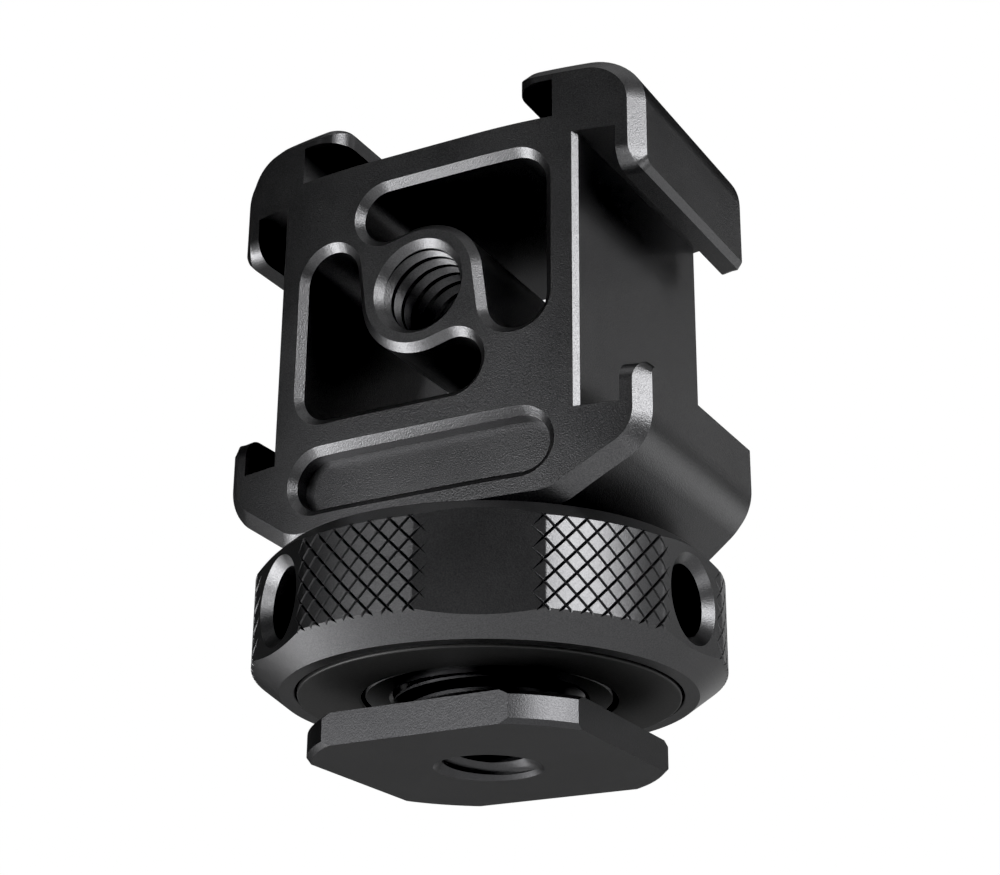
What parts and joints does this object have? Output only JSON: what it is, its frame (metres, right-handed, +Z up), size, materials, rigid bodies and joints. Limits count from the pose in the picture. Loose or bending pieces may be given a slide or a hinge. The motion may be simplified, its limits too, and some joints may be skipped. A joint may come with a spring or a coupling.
{
  "type": "triple cold shoe mount",
  "caption": "Compact machined block with three accessory shoes on a threaded stem, with a knurled lock wheel and a tapped shoe foot.",
  "frame": {"origin": "centre of the foot plate's underside, on the stem's axis", "axes": "+Z up the stem, -Y out of the front face with the shallow panel, X across the two side shoes"},
  "size_m": [0.03, 0.0298, 0.0427],
  "materials": {
    "anodised_block": "fine bead-blasted black anodising",
    "anodised_stem": "satin black anodising",
    "anodised_wheel": "satin black anodising, cut knurl",
    "black_steel": "black oxide",
    "black_rubber": "smooth, matt"
  },
  "bodies": {
    "mount_body": {"shoe_block": "anodised_block", "stem": "anodised_stem", "stem_grub_screw": "black_steel", "foot_plate": "anodised_stem"},
    "pad_ring": {"friction_pad": "black_rubber"},
    "wheel": {"lock_wheel": "anodised_wheel", "wheel_bushing": "anodised_wheel"}
  },
  "joints": [
    {"name": "pad_travel", "type": "slide", "parent": "mount_body", "child": "pad_ring", "axis": [0, 0, -1], "range_m": [0, 0.0021]},
    {"name": "wheel_turn", "type": "hinge", "parent": "pad_ring", "child": "wheel", "pos_m": [0, 0, 0.00855], "axis": [0, 0, -1], "range_deg": [0, 604]}
  ],
  "couplings": [
    {"joint": "pad_travel", "follows": "wheel_turn", "m_per_rad": 0.00019894}
  ]
}
